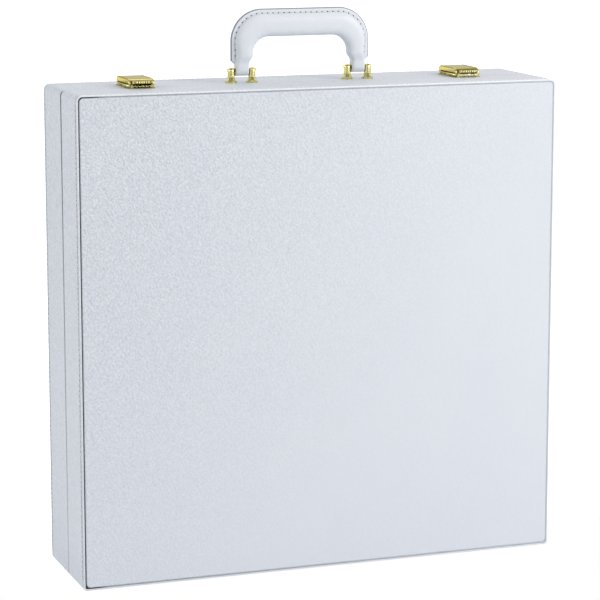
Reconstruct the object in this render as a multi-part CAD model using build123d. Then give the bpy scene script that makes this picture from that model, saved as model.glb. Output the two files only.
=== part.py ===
from build123d import *
import math
import os

# Storage case for chess pieces: two wooden shells covered in leatherette, hinged along one
# edge, with two snap latches and a folding handle on the opposite edge.
# Millimetres. +X is the right of the case, +Y its back, +Z up as it stands on its hinge edge.
# The origin is the centre of the footprint, on the ground.

# Case outside
case_width = 450.0
case_height = 438.0
lid_depth = 52.6
base_depth = 60.6
parting_gap = 0.8
top_corner_radius = 5.5
bottom_corner_radius = 3.5

# Shell walls
wrap_thickness = 1.0
board_thickness = 6.0
face_board_thickness = 3.0
lining_thickness = 0.8
lining_setback = 1.5
rim_setback = 0.4
rim_width = 1.5
rim_round = 0.9
parting_round = 0.6

# Covered panels on the front and back faces
panel_thickness = 2.2
panel_groove = 1.2
panel_corner_radius = 3.6
panel_edge_round = 1.0

# Hinge along the bottom edge
hinge_axis_height = 2.4
barrel_radius = 2.3
hinge_pin_radius = 1.0
hinge_running_clearance = 0.06
hinge_end_margin = 9.0
knuckle_gap = 0.25
knuckle_count = 18
leaf_thickness = 1.0
leaf_width = 14.0
leaf_clearance = 0.3
lid_opening_angle = 110.0
hinge_relief_clearance = 0.4
barrel_pocket_clearance = 0.4
hinge_screw_count = 9
hinge_screw_offset = 9.0
hinge_screw_radius = 1.1
hinge_screw_head_radius = 2.2
hinge_screw_length = 5.4

# Tray in the back shell, for sixteen tall pieces and sixteen pawns
tray_floor_thickness = 3.0
divider_thickness = 3.0
divider_setback = 2.1
tall_cell_height = 108.0
pawn_cell_height = 62.0
tall_cells_per_row = 8
pawn_cells_per_row = 4
divider_edge_round = 0.8

# Padded panel in the lid, which holds the pieces down
lid_pad_setback = 5.1
lid_pad_thickness = 12.0
lid_pad_edge_round = 5.0
lid_pad_gap = 0.3
lid_pad_channel_count = 5
lid_pad_channel_depth = 2.4
lid_pad_channel_width = 7.0
pad_board_thickness = 3.0
batten_width = 14.0

# Handle and its four posts
handle_height = 65.5
handle_thickness = 15.0
leg_spacing = 111.0
leg_width = 20.5
grip_width = 25.0
handle_outer_radius = 29.0
handle_inner_radius = 15.0
handle_edge_round = 6.6
seam_flange_width = 4.5
seam_flange_thickness = 3.2
leg_end_height = 16.5
tongue_width = 12.5
tongue_thickness = 11.0
pivot_height = 11.5
pivot_from_parting = 10.4
core_width = 8.0
core_thickness = 3.0
core_eye_wall = 1.4
bush_radius = 2.3
handle_pin_radius = 1.2
handle_pin_clearance = 0.06
handle_pin_proud = 0.3
post_radius = 3.25
post_flange_radius = 5.2
post_flange_height = 1.2
post_skirt_radius = 4.3
post_waist_radius = 2.8
post_waist_height = 4.4
post_height = 13.6
post_clearance = 0.35
post_screw_radius = 2.0
post_screw_depth = 8.0
post_screw_head_radius = 4.0
post_screw_head_height = 1.6
post_screw_head_clearance = 0.4
post_washer_radius = 5.0

# Latches
latch_from_side = 70.0
latch_width = 23.5
latch_height = 8.2
latch_front_overhang = 15.4
latch_back_reach = 28.0
latch_wall = 1.0
latch_plate_thickness = 0.8
latch_plate_margin = 0.2
latch_pivot_radius = 3.5
latch_cheek_lift = 1.3
latch_front_radius = 5.0
latch_lip_reach = 3.2
latch_lip_width = 18.4
latch_lip_height = 2.4
latch_lip_lift = 4.4
latch_knurl_count = 7
latch_knurl_radius = 0.75
latch_pin_radius = 1.2
latch_pin_clearance = 0.06
lug_width = 1.5
lug_side_gap = 0.9
lug_round = 2.2
skirt_height = 2.6
skirt_length = 6.0
cheek_step_height = 3.2
cheek_step_from_pivot = 12.0
spring_width = 8.0
spring_thickness = 0.6
spring_foot = 8.0
spring_start = 5.0
spring_reach = 14.0
spring_tip_gap = 0.35
keeper_width = 20.8
keeper_height = 3.9
keeper_wall = 1.0
keeper_catch_height = 3.0
keeper_catch_width = 12.0
tongue_gap = 0.25
tongue_wall = 1.0
tongue_lead = 2.4
latch_screw_radius = 1.1
latch_screw_head_radius = 1.9
latch_screw_head_height = 0.5
latch_screw_length = 5.5

# Places worked out from the sizes above
case_depth = lid_depth + parting_gap + base_depth
front_y = -case_depth / 2
back_y = case_depth / 2
lid_parting_y = front_y + lid_depth
base_parting_y = back_y - base_depth
parting_y = (lid_parting_y + base_parting_y) / 2
inner_half_width = case_width / 2 - wrap_thickness - board_thickness
inner_bottom = wrap_thickness + board_thickness
inner_top = case_height - wrap_thickness - board_thickness
hinge_half_length = case_width / 2 - hinge_end_margin
knuckle_length = 2 * hinge_half_length / knuckle_count
hinge_relief = hinge_axis_height * math.tan(math.radians(lid_opening_angle / 2)) + hinge_relief_clearance
pivot_y = parting_y + pivot_from_parting
latch_centres = (latch_from_side - case_width / 2, case_width / 2 - latch_from_side)


# Solids from corner coordinates and flat outlines
def brick(x0, x1, y0, y1, z0, z1):
    return Pos((x0 + x1) / 2, (y0 + y1) / 2, (z0 + z1) / 2) * Box(abs(x1 - x0), abs(y1 - y0), abs(z1 - z0))


def along_y(outline, y0, y1):
    near, far = min(y0, y1), max(y0, y1)
    return extrude(Plane.XZ.offset(-far) * outline, amount=far - near)


def along_x(outline, x0, x1):
    return extrude(Plane.YZ.offset(min(x0, x1)) * outline, amount=abs(x1 - x0))


def upright_rod(x, y, z0, z1, radius):
    return Pos(x, y, (z0 + z1) / 2) * Cylinder(radius, z1 - z0)


def cross_rod(x0, x1, y, z, radius):
    return Pos((x0 + x1) / 2, y, z) * Rot(0, 90, 0) * Cylinder(radius, x1 - x0)


def solids_of(shapes):
    return Compound([solid for shape in shapes for solid in shape.solids()])


def edges_of_face_at(shape, y):
    face = shape.faces().filter_by(Axis.Y).sort_by(lambda f: abs(f.center().Y - y))[0]
    return face.outer_wire().edges()


# Upright outline of the case in the XZ plane, drawn in by an inset
def case_outline(inset):
    outline = Pos(0, case_height / 2) * Rectangle(case_width - 2 * inset, case_height - 2 * inset)
    outline = fillet(outline.vertices().group_by(Axis.Y)[0], bottom_corner_radius - inset)
    return fillet(outline.vertices().group_by(Axis.Y)[-1], top_corner_radius - inset)


def inner_outline(inset):
    width = 2 * (inner_half_width - inset)
    height = inner_top - inner_bottom - 2 * inset
    return Pos(0, (inner_top + inner_bottom) / 2) * Rectangle(width, height)


# Room that both shells leave round the hinge, so that the lid can swing to its full angle
def hinge_room():
    shoulder = hinge_axis_height + parting_gap
    corner = [(-hinge_relief, 0), (-parting_gap / 2, shoulder), (parting_gap / 2, shoulder), (hinge_relief, 0)]
    below = [(hinge_relief, -1), (-hinge_relief, -1)]
    notch = Pos(parting_y, 0) * make_face(Polyline(*corner, *below, close=True))
    pocket_top = hinge_axis_height + barrel_radius + barrel_pocket_clearance
    half_length = hinge_half_length + barrel_pocket_clearance
    pocket = brick(-half_length, half_length, parting_y - hinge_relief, parting_y + hinge_relief, -1, pocket_top)
    return along_x(notch, -case_width, case_width) + pocket


# One shell: wrap, bottom strip, four edge boards, face board, face panel and wall lining.
# inward is +1 for the lid, whose face looks forward, and -1 for the base.
def shell(name, face_y, inward, depth):
    rim_y = face_y + inward * rim_setback
    board_y = face_y + inward * panel_thickness
    parting = face_y + inward * depth
    room = hinge_room()

    skin = along_y(case_outline(0) - case_outline(wrap_thickness), rim_y, parting)
    skin += along_y(case_outline(0) - case_outline(rim_width), rim_y, board_y)
    skin = fillet(edges_of_face_at(skin, rim_y), rim_round)
    skin = fillet(edges_of_face_at(skin, parting), parting_round)
    skin -= room
    floor_part = brick(-case_width, case_width, front_y, back_y, -1, bottom_corner_radius)
    leaf_end = parting_y - inward * (leaf_width + leaf_clearance)
    leaf_half = hinge_half_length + leaf_clearance
    leaf_room = brick(-leaf_half, leaf_half, leaf_end, parting, -1, wrap_thickness)
    wrap = skin - floor_part
    strip = (skin & floor_part) - leaf_room

    frame = along_y(case_outline(wrap_thickness) - inner_outline(0), board_y, parting) - room
    above = brick(-case_width, case_width, front_y, back_y, inner_top, case_height)
    beneath = brick(-case_width, case_width, front_y, back_y, 0, inner_bottom)
    face_back = board_y + inward * face_board_thickness
    lining_end = parting - inward * lining_setback

    panel_width = case_width - 2 * (rim_width + panel_groove)
    panel_height = case_height - 2 * (rim_width + panel_groove)
    panel_outline = Pos(0, case_height / 2) * RectangleRounded(panel_width, panel_height, panel_corner_radius)
    panel = along_y(panel_outline, face_y, board_y)
    return {
        name + "_wrap": wrap,
        name + "_bottom_strip": strip,
        name + "_top_board": frame & above,
        name + "_bottom_board": frame & beneath,
        name + "_side_boards": frame - above - beneath,
        name + "_face_board": along_y(inner_outline(0), board_y, face_back),
        name + "_face_panel": fillet(edges_of_face_at(panel, face_y), panel_edge_round),
        name + "_wall_lining": along_y(inner_outline(0) - inner_outline(lining_thickness), face_back, lining_end),
    }


# Piano hinge: two leaves with alternate knuckles, one pin, and screws up into the bottom boards
def hinge_leaf(inward, first_knuckle, bore):
    plate_edge = parting_y - inward * leaf_width
    notch_edge = parting_y - inward * hinge_relief
    leaf = brick(-hinge_half_length, hinge_half_length, plate_edge, notch_edge, 0, leaf_thickness)
    for index in range(first_knuckle, knuckle_count, 2):
        start = -hinge_half_length + index * knuckle_length + knuckle_gap / 2
        end = start + knuckle_length - knuckle_gap
        leaf += brick(start, end, notch_edge, parting_y, 0, leaf_thickness)
        leaf += cross_rod(start, end, parting_y, hinge_axis_height, barrel_radius)
    return leaf - cross_rod(-case_width, case_width, parting_y, hinge_axis_height, bore)


def countersunk_screw(x, y, z, head_radius, shank_radius, head_height, length):
    head = Pos(x, y, z + head_height / 2) * Cone(head_radius, shank_radius, head_height)
    return head + upright_rod(x, y, z + head_height, z + length, shank_radius)


def hinge_screws(inward):
    pitch = 2 * hinge_half_length / hinge_screw_count
    y = parting_y - inward * hinge_screw_offset
    head_height = leaf_thickness - 0.1
    screws = []
    for index in range(hinge_screw_count):
        x = -hinge_half_length + (index + 0.5) * pitch
        radii = (hinge_screw_head_radius, hinge_screw_radius)
        screws.append(countersunk_screw(x, y, 0.1, *radii, head_height, hinge_screw_length))
    return solids_of(screws)


# Tray: a padded floor, cross dividers from side to side, and short dividers between the pieces
def tray():
    wall = lining_thickness
    floor_back = back_y - panel_thickness - face_board_thickness
    floor_front = floor_back - tray_floor_thickness
    divider_front = base_parting_y + divider_setback
    left, right = -inner_half_width + wall, inner_half_width - wall
    bottom, top = inner_bottom + wall, inner_top - wall

    def divider(x0, x1, z0, z1):
        slat = brick(x0, x1, divider_front, floor_front, z0, z1)
        return fillet(edges_of_face_at(slat, divider_front), divider_edge_round)

    def row(z0, z1, count):
        cell = (right - left - (count - 1) * divider_thickness) / count
        starts = [left + (i + 1) * cell + i * divider_thickness for i in range(count - 1)]
        return [divider(x, x + divider_thickness, z0, z1) for x in starts]

    step = divider_thickness
    low_tall = bottom + tall_cell_height
    low_pawn = low_tall + step + pawn_cell_height
    high_tall = top - tall_cell_height
    high_pawn = high_tall - step - pawn_cell_height
    cross_levels = [low_tall, low_pawn, high_pawn - step, high_tall - step]
    cross = [divider(left, right, z, z + step) for z in cross_levels]
    tall = row(bottom, low_tall, tall_cells_per_row) + row(high_tall, top, tall_cells_per_row)
    pawn = row(low_tall + step, low_pawn, pawn_cells_per_row)
    pawn += row(high_pawn, high_tall - step, pawn_cells_per_row)
    return {
        "tray_floor_pad": brick(left, right, floor_front, floor_back, bottom, top),
        "tray_cross_dividers": solids_of(cross),
        "tray_tall_piece_dividers": solids_of(tall),
        "tray_pawn_dividers": solids_of(pawn),
    }


# Lid packing: battens on the face board carry a board with the channelled pad on it
def lid_packing():
    room = lid_pad_gap + lining_thickness
    left, right = -inner_half_width + room, inner_half_width - room
    bottom, top = inner_bottom + room, inner_top - room
    batten_front = front_y + panel_thickness + face_board_thickness
    pad_face = lid_parting_y - lid_pad_setback
    pad_back = pad_face - lid_pad_thickness
    board_front = pad_back - pad_board_thickness
    battens = [brick(left, right, batten_front, board_front, z, z + batten_width) for z in (bottom, top - batten_width)]
    for x in (left, -batten_width / 2, right - batten_width):
        z0, z1 = bottom + batten_width, top - batten_width
        battens.append(brick(x, x + batten_width, batten_front, board_front, z0, z1))
    pad = brick(left, right, pad_back, pad_face, bottom, top)
    pad = fillet(edges_of_face_at(pad, pad_face), lid_pad_edge_round)
    pitch = (right - left) / (lid_pad_channel_count + 1)
    half = lid_pad_channel_width / 2
    depth = lid_pad_channel_depth
    for index in range(lid_pad_channel_count):
        x = left + (index + 1) * pitch
        valley = make_face(Polyline((x - half, pad_face), (x, pad_face - depth), (x + half, pad_face), close=True))
        pad -= Pos(0, 0, bottom - 1) * extrude(valley, amount=top - bottom + 2)
    return {
        "lid_battens": solids_of(battens),
        "lid_pad_board": brick(left, right, board_front, pad_back, bottom, top),
        "lid_pad": pad,
    }


# Handle: two padded halves sewn together along a flange, round a steel strip with an eye at each end
def handle_frame(inset_outer, inset_inner, low):
    half_span = leg_spacing / 2 + leg_width / 2
    outer_half = half_span - inset_outer
    outer_top = case_height + handle_height - inset_outer
    inner_half = half_span - leg_width + inset_inner
    inner_top_edge = case_height + handle_height - grip_width + inset_inner
    outer = Pos(0, (low + outer_top) / 2) * Rectangle(2 * outer_half, outer_top - low)
    outer = fillet(outer.vertices().group_by(Axis.Y)[-1], handle_outer_radius - inset_outer)
    inner = Pos(0, (low + inner_top_edge) / 2) * Rectangle(2 * inner_half, inner_top_edge - low)
    inner = fillet(inner.vertices().group_by(Axis.Y)[-1], handle_inner_radius + inset_inner)
    return outer - inner


def handle_core():
    side_inset = (leg_width - core_width) / 2
    pivot_z = case_height + pivot_height
    band = handle_frame(side_inset, side_inset, pivot_z)
    core = along_y(band, pivot_y - core_thickness / 2, pivot_y + core_thickness / 2)
    for leg in (-1, 1):
        eye_x = leg * leg_spacing / 2 - core_width / 2
        core += cross_rod(eye_x, eye_x + core_width, pivot_y, pivot_z, bush_radius + core_eye_wall)
        core -= bush_rod(leg, bush_radius)
    return core


def bush_rod(leg, radius):
    centre = leg * leg_spacing / 2
    z = case_height + pivot_height
    return cross_rod(centre - tongue_width / 2, centre + tongue_width / 2, pivot_y, z, radius)


def handle_half(side, core):
    leg_end = case_height + leg_end_height
    pivot_z = case_height + pivot_height
    face = pivot_y + side * handle_thickness / 2
    half = along_y(handle_frame(seam_flange_width, 0, leg_end), pivot_y, face)
    front_face = half.faces().filter_by(Axis.Y).sort_by(lambda f: abs(f.center().Y - face))[0]
    half = fillet(front_face.edges(), handle_edge_round)
    half += along_y(handle_frame(0, 0, leg_end), pivot_y, pivot_y + side * seam_flange_thickness / 2)
    for leg in (-1, 1):
        x0 = leg * leg_spacing / 2 - tongue_width / 2
        x1 = x0 + tongue_width
        depth = tongue_thickness / 2
        end = cross_rod(x0, x1, pivot_y, pivot_z, depth)
        end &= brick(x0, x1, pivot_y, pivot_y + side * depth, pivot_z - depth, pivot_z + depth)
        half += end + brick(x0, x1, pivot_y, pivot_y + side * depth, pivot_z, leg_end + handle_edge_round)
        half -= bush_rod(leg, bush_radius)
    return half - core


def post(x):
    base = case_height
    profile = [
        (0, 0), (post_flange_radius, 0), (post_flange_radius, post_flange_height),
        (post_skirt_radius, post_flange_height + 0.8), (post_waist_radius, post_waist_height),
        (post_radius, post_waist_height + 0.7), (post_radius, post_height - post_radius),
    ]
    diagonal = post_radius * math.sqrt(0.5)
    dome = ThreePointArc(profile[-1], (diagonal, post_height - post_radius + diagonal), (0, post_height))
    section = make_face(Polyline(*profile) + dome + Line((0, post_height), (0, 0)))
    turned = Pos(x, pivot_y, base) * revolve(Plane.XZ * section, Axis.Z)
    turned -= cross_rod(x - case_width, x + case_width, pivot_y, base + pivot_height, handle_pin_radius)
    return turned - upright_rod(x, pivot_y, base, base + post_screw_depth, post_screw_radius)


def post_places():
    reach = tongue_width / 2 + post_clearance + post_radius
    return [leg * leg_spacing / 2 + side * reach for leg in (-1, 1) for side in (-1, 1)]


def handle_pins():
    reach = tongue_width / 2 + post_clearance + 2 * post_radius + handle_pin_proud
    z = case_height + pivot_height
    centres = (-leg_spacing / 2, leg_spacing / 2)
    return solids_of([cross_rod(c - reach, c + reach, pivot_y, z, handle_pin_radius) for c in centres])


# Room round the screw heads, kept clear of the tray's dividers
def post_screw_room():
    low = inner_top - lining_thickness
    radius = post_screw_head_radius + post_screw_head_clearance
    depth = post_screw_head_height + post_screw_head_clearance
    return [upright_rod(x, pivot_y, low - depth, low, radius) for x in post_places()]


def post_screws():
    low = inner_top - lining_thickness
    screws = []
    for x in post_places():
        shank = upright_rod(x, pivot_y, low, case_height + post_screw_depth, post_screw_radius)
        screws.append(shank + upright_rod(x, pivot_y, low - post_screw_head_height, low, post_screw_head_radius))
    return screws


def post_washers():
    low = inner_top - lining_thickness
    return [
        upright_rod(x, pivot_y, low, inner_top, post_washer_radius)
        - upright_rod(x, pivot_y, low, inner_top, post_screw_radius)
        for x in post_places()
    ]


# Latch on each side: a hasp with a thumb lip on the base, and a keeper on the lid
latch_pivot_y = parting_y + latch_back_reach - latch_pivot_radius
latch_pivot_z = case_height + latch_height - latch_pivot_radius
latch_front_y = parting_y - latch_front_overhang + latch_lip_reach
latch_inner_top = case_height + latch_height - latch_wall
catch_y = lid_parting_y - 5.2


def latch_hasp(x):
    top = case_height + latch_height
    cheek_low = case_height + latch_cheek_lift
    step_y = latch_pivot_y - cheek_step_from_pivot
    step_z = case_height + cheek_step_height
    front_curve_y = latch_front_y + latch_front_radius
    curve_low = top - latch_front_radius
    rear_low = latch_pivot_z - latch_pivot_radius
    outer_edges = Polyline(
        (latch_pivot_y, rear_low), (latch_pivot_y - 2, step_z), (step_y, step_z),
        (step_y, cheek_low), (latch_front_y, cheek_low), (latch_front_y, curve_low),
    )
    outer_edges += ThreePointArc(
        (latch_front_y, curve_low),
        (front_curve_y - latch_front_radius * math.sqrt(0.5), curve_low + latch_front_radius * math.sqrt(0.5)),
        (front_curve_y, top),
    )
    outer_edges += Line((front_curve_y, top), (latch_pivot_y, top))
    outer_edges += ThreePointArc(
        (latch_pivot_y, top), (latch_pivot_y + latch_pivot_radius, latch_pivot_z), (latch_pivot_y, rear_low)
    )
    half = latch_width / 2
    body = along_x(make_face(outer_edges), x - half, x + half)
    round_edges = body.edges().filter_by(Axis.Y).sort_by(Axis.Z)[-2:]
    body = fillet(round_edges, latch_wall * 0.8)
    inner_radius = latch_front_radius - latch_wall
    inner_front = latch_front_y + latch_wall
    hollow_edges = Polyline(
        (inner_front + inner_radius, latch_inner_top), (back_y, latch_inner_top), (back_y, case_height - 1),
        (inner_front, case_height - 1), (inner_front, latch_inner_top - inner_radius),
    )
    hollow_edges += ThreePointArc(
        (inner_front, latch_inner_top - inner_radius),
        (
            inner_front + inner_radius * (1 - math.sqrt(0.5)),
            latch_inner_top - inner_radius * (1 - math.sqrt(0.5)),
        ),
        (inner_front + inner_radius, latch_inner_top),
    )
    inside = half - latch_wall
    body -= along_x(make_face(hollow_edges), x - inside, x + inside)
    lip_low = case_height + latch_lip_lift
    front_wall = brick(x - half, x + half, latch_front_y - 1, inner_front + 0.01, case_height, lip_low)
    body -= front_wall & brick(x - inside, x + inside, latch_front_y - 1, back_y, case_height, top)

    lip_half = latch_lip_width / 2
    lip_front = latch_front_y - latch_lip_reach
    lip = brick(x - lip_half, x + lip_half, lip_front, latch_front_y + latch_wall, lip_low, lip_low + latch_lip_height)
    lip = fillet(lip.edges().filter_by(Axis.X).group_by(Axis.Y)[0], 0.7)
    body += lip
    pitch = (latch_lip_width - 2 * latch_knurl_radius) / (latch_knurl_count - 1)
    for index in range(latch_knurl_count):
        knurl_x = x - lip_half + latch_knurl_radius + index * pitch
        body += upright_rod(knurl_x, lip_front + 0.1, lip_low + 0.1, lip_low + latch_lip_height - 0.1, latch_knurl_radius)

    hook_back = catch_y - tongue_lead
    hook_low = case_height + keeper_catch_height + tongue_gap
    hook_half = keeper_catch_width / 2
    body += brick(x - hook_half, x + hook_half, hook_back - tongue_wall, hook_back, hook_low, latch_inner_top + 0.2)
    return body - cross_rod(x - latch_width, x + latch_width, latch_pivot_y, latch_pivot_z,
                            latch_pin_radius + latch_pin_clearance)


def latch_base(x):
    half = latch_width / 2 + latch_plate_margin
    plate_top = case_height + latch_plate_thickness
    plate_back = latch_pivot_y + latch_pivot_radius
    base = brick(x - half, x + half, base_parting_y + 0.4, plate_back, case_height, plate_top)
    lug_out = latch_width / 2 - latch_wall - lug_side_gap
    for side in (-1, 1):
        lug_x = x + side * (lug_out - lug_width / 2)
        ends = (lug_x - lug_width / 2, lug_x + lug_width / 2)
        base += brick(*ends, latch_pivot_y - lug_round, latch_pivot_y + lug_round, plate_top, latch_pivot_z)
        base += cross_rod(*ends, latch_pivot_y, latch_pivot_z, lug_round)
        skirt_x = x + side * (half - latch_wall / 2)
        skirt_y = plate_back - latch_pivot_radius * 2 - 2
        ends = (skirt_x - latch_wall / 2, skirt_x + latch_wall / 2)
        base += brick(*ends, skirt_y - skirt_length, skirt_y, plate_top, case_height + skirt_height)
    return base - cross_rod(x - latch_width, x + latch_width, latch_pivot_y, latch_pivot_z, latch_pin_radius)


def latch_pin(x):
    return cross_rod(x - latch_width / 2, x + latch_width / 2, latch_pivot_y, latch_pivot_z, latch_pin_radius)


# Leaf spring under the hasp: a flat foot, a rising leg and a tip just under the hasp's top
def latch_spring(x):
    foot_z = case_height + latch_plate_thickness
    tip_z = latch_inner_top - spring_tip_gap - spring_thickness
    foot_front = base_parting_y + spring_start
    foot_back = foot_front + spring_foot
    tip_y = foot_front + spring_reach
    under = [(foot_front, foot_z), (foot_back, foot_z), (tip_y, tip_z)]
    over = [(tip_y, tip_z + spring_thickness), (foot_back - 0.3, foot_z + spring_thickness)]
    over.append((foot_front, foot_z + spring_thickness))
    strip = make_face(Polyline(*under, *over, close=True))
    return along_x(strip, x - spring_width / 2, x + spring_width / 2)


def latch_keeper(x):
    half = latch_width / 2 + latch_plate_margin
    plate_top = case_height + latch_plate_thickness
    plate_front = latch_front_y - keeper_wall
    keeper = brick(x - half, x + half, plate_front, lid_parting_y - 0.4, case_height, plate_top)
    wall_half = keeper_width / 2
    wall = brick(x - wall_half, x + wall_half, plate_front, plate_front + keeper_wall,
                 case_height, case_height + keeper_height)
    keeper += fillet(wall.edges().filter_by(Axis.X).group_by(Axis.Y)[0].sort_by(Axis.Z)[-1:], 0.5)
    catch_half = keeper_catch_width / 2
    keeper += brick(x - catch_half, x + catch_half, catch_y, catch_y + keeper_wall,
                    plate_top, case_height + keeper_catch_height)
    return keeper


def latch_screw(x, y, surface_z):
    top = surface_z + latch_screw_head_height
    head = upright_rod(x, y, surface_z, top, latch_screw_head_radius)
    head = fillet(head.edges().sort_by(Axis.Z)[-1:], latch_screw_head_height * 0.6)
    return head + upright_rod(x, y, surface_z - latch_screw_length, surface_z, latch_screw_radius)


def latch_screws(places):
    surface = case_height + latch_plate_thickness
    return [latch_screw(x + dx, y, surface) for x in latch_centres for dx, y in places]


def cut_all(nodes, names, tools):
    for name in names:
        for tool in tools:
            nodes[name] = nodes[name] - tool


def build():
    nodes = shell("lid", front_y, 1, lid_depth)
    nodes.update(shell("base", back_y, -1, base_depth))
    nodes.update(lid_packing())
    nodes.update(tray())

    bore = hinge_pin_radius + hinge_running_clearance
    nodes["lid_hinge_leaf"] = hinge_leaf(1, 0, bore)
    nodes["base_hinge_leaf"] = hinge_leaf(-1, 1, hinge_pin_radius)
    half = hinge_half_length
    nodes["hinge_pin"] = cross_rod(-half, half, parting_y, hinge_axis_height, hinge_pin_radius)
    for name, inward in (("lid", 1), ("base", -1)):
        screws = hinge_screws(inward)
        nodes[name + "_hinge_screws"] = screws
        cut_all(nodes, [name + "_hinge_leaf", name + "_bottom_board"], screws.solids())

    core = handle_core()
    nodes["handle_core"] = core
    nodes["handle_front_half"] = handle_half(-1, core)
    nodes["handle_back_half"] = handle_half(1, core)
    running = handle_pin_radius + handle_pin_clearance
    nodes["handle_bushes"] = solids_of([bush_rod(leg, bush_radius) - bush_rod(leg, running) for leg in (-1, 1)])
    nodes["handle_posts"] = solids_of([post(x) for x in post_places()])
    nodes["handle_pins"] = handle_pins()
    washers = post_washers()
    screws = post_screws()
    nodes["handle_post_washers"] = solids_of(washers)
    nodes["handle_post_screws"] = solids_of(screws)
    cut_all(nodes, ["base_wrap", "base_top_board"], screws)
    low = inner_top - lining_thickness
    room = [upright_rod(x, pivot_y, low, inner_top, post_washer_radius) for x in post_places()]
    cut_all(nodes, ["base_wall_lining"], room)
    cut_all(nodes, ["tray_tall_piece_dividers"], post_screw_room())

    nodes["latch_hasp_left"] = latch_hasp(latch_centres[0])
    nodes["latch_hasp_right"] = latch_hasp(latch_centres[1])
    nodes["latch_hinge_pins"] = solids_of([latch_pin(x) for x in latch_centres])
    nodes["latch_springs"] = solids_of([latch_spring(x) for x in latch_centres])
    spring_rivet_y = base_parting_y + spring_start + spring_foot / 2
    rivet_z = case_height + latch_plate_thickness + spring_thickness
    spring_rivets = [latch_screw(x, spring_rivet_y, rivet_z) for x in latch_centres]
    side = latch_width / 2 - 4.2
    base_screws = latch_screws([(dx, spring_rivet_y) for dx in (-side, side)])
    keeper_y = (catch_y + keeper_wall + lid_parting_y - 0.4) / 2
    keeper_screws = latch_screws([(dx, keeper_y) for dx in (-side, side)])
    nodes["latch_spring_rivets"] = solids_of(spring_rivets)
    nodes["latch_base_screws"] = solids_of(base_screws)
    nodes["latch_keeper_screws"] = solids_of(keeper_screws)
    nodes["latch_bases"] = solids_of([latch_base(x) for x in latch_centres])
    nodes["latch_keepers"] = solids_of([latch_keeper(x) for x in latch_centres])
    cut_all(nodes, ["latch_springs"], spring_rivets)
    cut_all(nodes, ["latch_bases", "base_wrap", "base_top_board"], spring_rivets + base_screws)
    cut_all(nodes, ["latch_keepers", "lid_wrap", "lid_top_board"], keeper_screws)
    return nodes


os.makedirs("parts", exist_ok=True)
for node_name, shape in build().items():
    export_step(shape, "parts/" + node_name + ".step")
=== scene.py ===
import math
import random

import bmesh
import bpy
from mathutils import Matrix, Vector


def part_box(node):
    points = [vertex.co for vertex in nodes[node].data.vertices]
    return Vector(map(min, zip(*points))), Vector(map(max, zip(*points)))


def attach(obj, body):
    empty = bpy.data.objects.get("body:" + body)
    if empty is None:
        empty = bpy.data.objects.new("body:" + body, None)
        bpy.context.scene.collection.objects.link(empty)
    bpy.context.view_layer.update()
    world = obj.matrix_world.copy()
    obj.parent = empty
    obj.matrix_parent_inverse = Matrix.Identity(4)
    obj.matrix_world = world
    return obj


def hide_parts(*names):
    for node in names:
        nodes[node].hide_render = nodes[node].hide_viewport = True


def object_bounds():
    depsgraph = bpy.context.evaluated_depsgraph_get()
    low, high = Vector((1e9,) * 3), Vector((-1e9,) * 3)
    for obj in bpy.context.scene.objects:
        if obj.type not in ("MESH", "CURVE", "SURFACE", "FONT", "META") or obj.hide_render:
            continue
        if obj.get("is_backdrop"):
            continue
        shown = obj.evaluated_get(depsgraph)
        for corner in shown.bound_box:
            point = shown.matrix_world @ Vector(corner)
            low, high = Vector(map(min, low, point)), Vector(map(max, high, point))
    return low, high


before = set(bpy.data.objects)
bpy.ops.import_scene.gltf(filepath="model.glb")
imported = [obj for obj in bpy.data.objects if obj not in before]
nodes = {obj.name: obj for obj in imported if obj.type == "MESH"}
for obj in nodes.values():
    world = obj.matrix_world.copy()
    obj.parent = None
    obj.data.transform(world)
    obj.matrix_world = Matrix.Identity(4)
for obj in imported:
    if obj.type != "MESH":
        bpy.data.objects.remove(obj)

cad_low, cad_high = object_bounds()
scene = bpy.context.scene
random.seed(64)


# Edge boards: the lid and the base are each a frame of four poplar plywood boards, glued at the corners,
# with a thin face board let in behind the panel. The bare edges show only where the case opens.
def linear(hex_colour):
    channels = [int(hex_colour[i:i + 2], 16) / 255 for i in (1, 3, 5)]
    return tuple(c / 12.92 if c <= 0.04045 else ((c + 0.055) / 1.055) ** 2.4 for c in channels) + (1.0,)


def new_material(name):
    material = bpy.data.materials.new(name)
    material.use_nodes = True
    material.node_tree.nodes.clear()
    return material


# Adds a node to a material. A node given as an input is linked by the first of its outputs that is in use
def add(material, kind, inputs=None, **settings):
    tree = material.node_tree
    node = tree.nodes.new(kind)
    for name, value in settings.items():
        setattr(node, name, value)
    for socket, value in (inputs or {}).items():
        if isinstance(value, bpy.types.Node):
            value = next(output for output in value.outputs if output.enabled)
        if isinstance(value, bpy.types.NodeSocket):
            tree.links.new(value, node.inputs[socket])
        else:
            node.inputs[socket].default_value = value
    return node


def surface(material, inputs):
    shader = add(material, "ShaderNodeBsdfPrincipled", inputs)
    add(material, "ShaderNodeOutputMaterial", {"Surface": shader})


def dress(material, *names):
    for name in names:
        mesh = nodes[name].data
        if not mesh.materials:
            mesh.materials.append(material)
        for slot in nodes[name].material_slots:
            slot.material = material


# Sanded poplar ply: pale tan with long darker grain lines, which gives the eye raw wood inside a covered
# case. The widths of this pattern, and of those below, are in millimetres.
board_grain = {"across_the_case": (0.05, 1.0, 1.0), "up_the_case": (1.0, 1.0, 0.05)}
grain_width = 1.6
blotch_width = 45


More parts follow.
